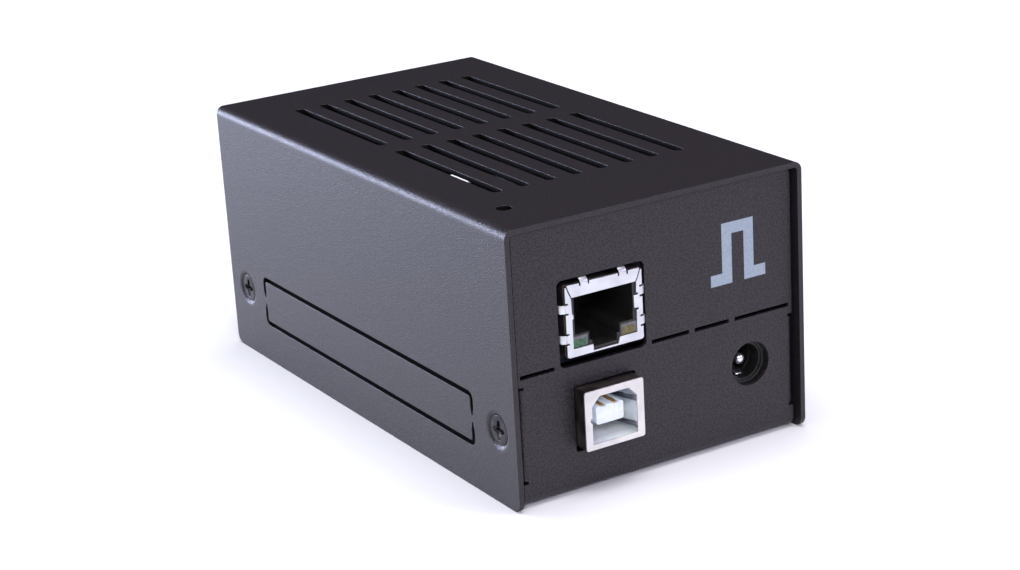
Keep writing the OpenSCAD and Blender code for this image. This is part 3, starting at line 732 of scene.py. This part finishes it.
def facing(cx, cz, front, back):
    """Places a plate seen from the front: drawn right and up, and as deep as front to back."""
    return lambda u, v, w: Vector((cx + u, (front + back) / 2 - w, cz + v))


def tube(bm, outer, holes, cx, cz, front, back, edge):
    """A solid with the same outline from front to back."""
    plate(bm, outer, holes, back - front, edge, facing(cx, cz, front, back))


SEAM = 0.1                      # half the gap at a folded corner of the network jack
LAN_W, LAN_H = 15.5, 12.8
LAN_MOUTH = (6.5, 1.45, 10.5)   # half width, lowest and highest point of the jack's mouth
FINGER_HALF = 0.72
FINGER_SLIT = (0.32, 0.55)      # width and depth of the slits beside an earthing finger
FINGER_THICK = 0.2
TOP_FINGERS, SIDE_FINGERS = (4.0, -3.8), (3.35, 8.7)    # across the jack's top, and up its sides
LAN_PLATE = 0.3                 # thickness of the jack's folded front
LAN_LAMP = 4.98                 # from the jack's middle to each lamp


def seam_line(offset, side):
    """Curved joint between the folded plates, from the mouth's corner out to the jack's corner."""
    inner, outer = Vector((LAN_MOUTH[0], LAN_MOUTH[2])), Vector((LAN_W / 2 - 0.3, LAN_H))
    across = Vector((outer.y - inner.y, inner.x - outer.x)).normalized()
    line = []
    for i in range(7):
        t = i / 6
        p = inner.lerp(outer, t) + across * (0.32 * t * (1 - t) + offset)
        line.append(Vector((side * p.x, min(p.y, LAN_H))))
    return line


def finger_notch(at, low_first=True):
    """Offsets of the two slits beside a finger, as (distance along the edge, depth)."""
    width, depth = FINGER_SLIT
    far = FINGER_HALF + width
    steps = [(-far, 0), (-far, depth), (-FINGER_HALF, depth), (-FINGER_HALF, 0),
             (FINGER_HALF, 0), (FINGER_HALF, depth), (far, depth), (far, 0)]
    steps = steps if low_first else [(-a, d) for a, d in steps]
    return [(at + a, d) for a, d in steps]


def make_network_jack():
    """Folded front of the shell with its earthing fingers, then the parts behind it."""
    low, high = box_mm("lan_shell")
    cx, cz, front = (low.x + high.x) / 2, low.z, low.y
    half, lip, _ = LAN_MOUTH
    top = seam_line(-SEAM, -1)[::-1] + seam_line(-SEAM, 1)
    top += [Vector((x, LAN_H - d)) for at in TOP_FINGERS for x, d in finger_notch(at, False)]
    frame_low = arc(-LAN_W / 2 + 0.45, 0.45, 0.45, 180, 270, 4)
    frame_low += arc(LAN_W / 2 - 0.45, 0.45, 0.45, -90, 0, 4)
    frame_low += [Vector((LAN_W / 2 - d, z)) for at in SIDE_FINGERS for z, d in finger_notch(at)]
    frame_low += arc(LAN_W / 2 - 0.3, LAN_H - 0.45, 0.3, 0, 50, 3)
    frame_low += list(reversed(seam_line(SEAM, 1)))[1:]
    # down the right side of the mouth past its tab, along the bottom, and up past the left notch
    frame_low += points((half, 8.5), (half + 0.42, 8.5), (half + 0.42, 8.15), (half - 0.5, 8.1))
    frame_low += points((half - 0.5, 5.9), (half + 0.42, 5.8), (half + 0.42, 5.45), (half, 5.4), (half, lip))
    frame_low += points((2.95, lip), (2.55, 0.3), (-2.55, 0.3), (-2.55, lip), (-half, lip))
    frame_low += points((-half, 6.7), (-half + 0.22, 6.8), (-half + 0.22, 7.5), (-half, 7.6))
    frame_low += seam_line(SEAM, -1)[:-1]
    frame_low += arc(-LAN_W / 2 + 0.3, LAN_H - 0.45, 0.3, 130, 180, 3)
    for at in reversed(SIDE_FINGERS):
        frame_low += [Vector((-LAN_W / 2 + d, z)) for z, d in finger_notch(at, False)]
    bm = bmesh.new()
    tube(bm, top, [], cx, cz, front, front + LAN_PLATE, 0.05)
    tube(bm, frame_low, [], cx, cz, front, front + LAN_PLATE, 0.05)
    # earthing fingers bulge out of the slits and lean back to the shell
    bulge = ((0.14, -0.12), (0.22, 0.18), (0.5, 0.55), (1.0, 0.82), (1.8, 0.86), (3.4, 0.45), (4.6, 0.05))
    for x in TOP_FINGERS:
        path = [(cx + x, front + a, cz + LAN_H + b * 0.98) for a, b in bulge]
        ribbon(bm, path, (1, 0, 0), 2 * FINGER_HALF, FINGER_THICK)
    for side, reach in ((-1, 1.2), (1, 0.95)):
        for z in SIDE_FINGERS:
            path = [(cx + side * (LAN_W / 2 + b * reach), front + a, cz + z) for a, b in bulge]
            ribbon(bm, path, (0, 0, 1), 2 * FINGER_HALF, FINGER_THICK)
    piece("network_jack_front", bm, jack_tin, ["lan_shell"])
    make_network_can(cx, cz, front, high.y)
    make_network_housing(cx, cz, front)


def make_network_can(cx, cz, front, back):
    """Sides, top, bottom and rear of the shell, behind the slits of its front, in tin darkened as painted
    shade.
    """
    left, right, roof = cx - LAN_W / 2, cx + LAN_W / 2, cz + LAN_H
    start = front + 0.72
    bm = bmesh.new()
    block(bm, (left + 0.03, start, cz + 0.2), (left + 0.33, back, roof - 0.2), 0.08)
    block(bm, (right - 0.33, start, cz + 0.2), (right - 0.03, back, roof - 0.2), 0.08)
    block(bm, (left + 0.05, start, roof - 0.33), (right - 0.05, back, roof - 0.03), 0.08)
    block(bm, (left + 0.05, front + 0.35, cz + 0.03), (right - 0.05, back, cz + 0.33), 0.08)
    block(bm, (left + 0.1, back - 0.33, cz + 0.1), (right - 0.1, back, roof - 0.1), 0.08)
    piece("network_jack_can", bm, shade_darkened_tin)


def make_network_housing(cx, cz, front):
    back = box_mm("lan_housing")[1].y
    plug = points((-5.9, 3.8), (-3.1, 3.8), (-3.1, 2.2), (-2.5, 2.2), (-2.5, 0.85), (2.5, 0.85), (2.5, 2.2),
                  (3.1, 2.2), (3.1, 3.8), (5.9, 3.8), (5.9, 10.4), (-5.9, 10.4))
    pockets = [soft_rect(x, 2.4, 3.3, 1.9, 0.1, 2) for x in (-LAN_LAMP, LAN_LAMP)]
    gap, middle = 0.4, front + 13       # from the shell's outside to the housing, and the end of its hollow
    wall = soft_rect(0, LAN_H / 2, LAN_W - 2 * gap, LAN_H - 2 * gap, 0.2, 2)
    bm = bmesh.new()
    tube(bm, wall, [plug] + pockets, cx, cz, front + 0.34, middle, 0.06)
    side = LAN_W / 2 - gap
    block(bm, (cx - side, middle - 0.1, cz + gap), (cx + side, back, cz + LAN_H - gap), 0.1)
    piece("network_jack_housing", bm, black_plastic, ["lan_housing"])
    bm = bmesh.new()
    for i in range(8):
        x = cx + (i - 3.5) * 1.02
        path = [(x, front + 2.8, cz + 10.25), (x, front + 3.4, cz + 9.9), (x, front + 5, cz + 9.5),
                (x, front + 9, cz + 8.7), (x, front + 12.4, cz + 8.2)]
        ribbon(bm, path, (1, 0, 0), 0.36, 0.22)
    piece("network_jack_contacts", bm, gold, ["lan_contacts"])
    for side, node, look in ((-1, "lan_lamp_green", "green_lens"), (1, "lan_lamp_yellow", "amber_lens")):
        x = cx + side * LAN_LAMP
        bm = bmesh.new()
        block(bm, (x - 1.62, front + 0.32, cz + 1.47), (x + 1.62, front + 7.9, cz + 3.5), 0.12)
        piece(node + "_pipe", bm, light_pipe, [node])
        bm = bmesh.new()
        block(bm, (x - 1.5, front + 0.24, cz + 1.5), (x + 1.2, front + 0.6, cz + 2.9), 0.1)
        piece(node + "_window", bm, SLOT_LOOKS[look])


USB_W, USB_H, USB_WALL = 12.05, 10.75, 0.35
USB_CONTACT_X = 1.3             # from the tongue's middle to a row of contacts


def usb_mouth(grow=0.0):
    """Opening of the data socket, with its two upper corners cut off."""
    w, h, cut = 4.45 + grow, 4.1 + grow, 1.6 + 0.4 * grow
    return points((-w, -h - 0.1), (w, -h - 0.1), (w, h - cut - 0.1), (w - cut, h - 0.1), (cut - w, h - 0.1),
                  (-w, h - cut - 0.1))


def make_data_socket():
    low, high = box_mm("usb_shell")
    cx, cz, front, back = (low.x + high.x) / 2, (low.z + high.z) / 2, low.y, high.y
    bm = bmesh.new()
    mouth = usb_mouth(0.15) + points((-4.6, 0.5), (-4.95, 0.4), (-4.95, -0.3), (-4.6, -0.4))
    tube(bm, soft_rect(0, 0, USB_W, USB_H, 0.45, 5), [mouth], cx, cz, front, front + USB_WALL, 0.09)
    piece("data_socket_front", bm, shell_tin, ["usb_shell"])
    bm = bmesh.new()
    w, h = USB_W / 2, USB_H / 2
    for a, b in (((-w, -h + 0.3), (-w + USB_WALL, h - 0.3)), ((w - USB_WALL, -h + 0.3), (w, h - 0.3)),
                 ((-w + 0.2, h - USB_WALL), (w - 0.2, h)), ((-w + 0.2, -h), (w - 0.2, -h + USB_WALL))):
        block(bm, (cx + a[0], front + 0.28, cz + a[1]), (cx + b[0], back, cz + b[1]), 0.12)
    block(bm, (cx - w + 0.1, back - USB_WALL, cz - h + 0.1), (cx + w - 0.1, back, cz + h - 0.1), 0.1)
    # the socket's walls and rear take the tin darkened as painted shade
    piece("data_socket_can", bm, shade_darkened_tin)
    bm = bmesh.new()
    lean = ((4.62, 0.2), (4.5, 0.9), (3.9, 2.6), (3.3, 5.0), (3.25, 6.4), (3.9, 8.6))
    for z in (1.7, -3.0):
        ribbon(bm, [(cx + x, front + y, cz + z) for x, y in lean], (0, 0, 1), 0.8, 0.25)
    piece("data_socket_springs", bm, spring_steel)
    inner = front + USB_WALL + 0.02
    floor = inner + 9.4
    bm = bmesh.new()
    wall = soft_rect(0, 0, USB_W - 0.8, USB_H - 0.8, 0.2, 2)
    tube(bm, wall, [usb_mouth(0.3)], cx, cz, inner, floor, 0.1)
    tube(bm, wall, [], cx, cz, floor, back - 0.6, 0.1)
    groove, groove_half = 0.22, 0.52
    top, base = 1.55, -1.75
    profile = arc(-2.35, base + 0.45, 0.45, 180, 270, 4) + arc(2.35, base + 0.45, 0.45, -90, 0, 4)
    profile += arc(2.35, top - 0.45, 0.45, 0, 90, 4)
    for x in (USB_CONTACT_X, -USB_CONTACT_X):
        left, right = x - groove_half, x + groove_half
        profile += points((right, top), (right, top - groove), (left, top - groove), (left, top))
    profile += arc(-2.35, top - 0.45, 0.45, 90, 180, 4)
    tube(bm, profile, [], cx, cz, front + 1.6, floor + 0.3, 0.1)
    piece("data_socket_insulator", bm, ivory, ["usb_insulator"])
    bm = bmesh.new()
    for x in (cx - USB_CONTACT_X, cx + USB_CONTACT_X):
        nose = ((2.0, 0.45), (2.2, 0.2), (2.6, 0.1), (floor - front, 0.1))
        ribbon(bm, [(x, front + a, cz + top - b) for a, b in nose], (1, 0, 0), 0.92, 0.16)
        under = cz + base - 0.09
        ribbon(bm, [(x, front + 2.4, under), (x, floor, under)], (1, 0, 0), 0.92, 0.16)
    piece("data_socket_contacts", bm, contact_gold, ["usb_contacts"])


def make_power_jack():
    low, high = box_mm("power_jack_body")
    pin_low, pin_high = box_mm("power_jack_pin")
    cx, cz = (pin_low.x + pin_high.x) / 2, (pin_low.z + pin_high.z) / 2
    down, up = low.z - cz, high.z - cz
    half, block_end, bore_end = 4.5, low.y + 3.4, low.y + 9.8
    bore, step = circle(0, 0, 3.2, 40), circle(0, 0, 3.55, 40)
    face = soft_rect(0, (down + up) / 2, 2 * half, up - down, 0.3, 3)
    barrel = arc(0, 0, half, 0, 180, 24) + points((-half, down), (half, down))
    bm = bmesh.new()
    tube(bm, face, [step], cx, cz, low.y, low.y + 0.45, 0.15)
    tube(bm, face, [bore], cx, cz, low.y + 0.42, block_end, 0.12)
    tube(bm, barrel, [bore], cx, cz, block_end, bore_end, 0.1)
    tube(bm, barrel, [], cx, cz, bore_end, high.y, 0.1)
    piece("power_jack_moulding", bm, black_plastic, ["power_jack_body"])
    bm = bmesh.new()
    turned(bm, [(0, 0), (0.42, 0.04), (0.76, 0.22), (0.98, 0.55), (1.05, 0.95), (1.05, 8.0), (0, 8.0)],
           lambda x, y, h: Vector((cx + x, pin_low.y + h, cz + y)), 28)
    piece("power_jack_centre_pin", bm, SLOT_LOOKS["tin_plate"], ["power_jack_pin"])
    spring, _ = box_mm("power_jack_spring")
    rise = ((0, 0.1), (0.5, 0.16), (1.6, 0.45), (3.4, 0.9), (6.3, 1.1))
    bm = bmesh.new()
    ribbon(bm, [(cx, spring.y + a, spring.z + b) for a, b in rise], (1, 0, 0), 1.6, 0.2)
    piece("power_jack_leaf", bm, SLOT_LOOKS["tin_plate"], ["power_jack_spring"])


SOFTENED = ("stacking_sockets", "microcontroller_socket", "microcontroller", "usb_bridge_chip",
            "main_crystal", "smoothing_capacitors", "voltage_regulator", "programming_header",
            "programming_pins", "status_lamps", "main_reset_base", "main_reset_cover", "network_chip",
            "network_crystal", "sample_memory", "input_buffers", "probe_sockets", "reset_base",
            "reset_cover", "main_reset_plunger", "reset_plunger", "board_screws", "standoffs")


def soften_cad_edges():
    for name in SOFTENED:
        bevel = nodes[name].modifiers.new("soft_edges", "BEVEL")
        bevel.width = 0.08 * MM
        bevel.segments = 2
        bevel.limit_method = "ANGLE"
        bevel.angle_limit = math.radians(35)
        bevel.harden_normals = True


make_camera()
make_stage()
for node in nodes.values():
    for entry in node.material_slots:
        entry.material = SLOT_LOOKS[entry.material.name.split(".")[0]]
make_cover()
make_shade_sheets()
make_tray()
make_cover_screws()
make_mark()
make_network_jack()
make_data_socket()
make_power_jack()
soften_cad_edges()
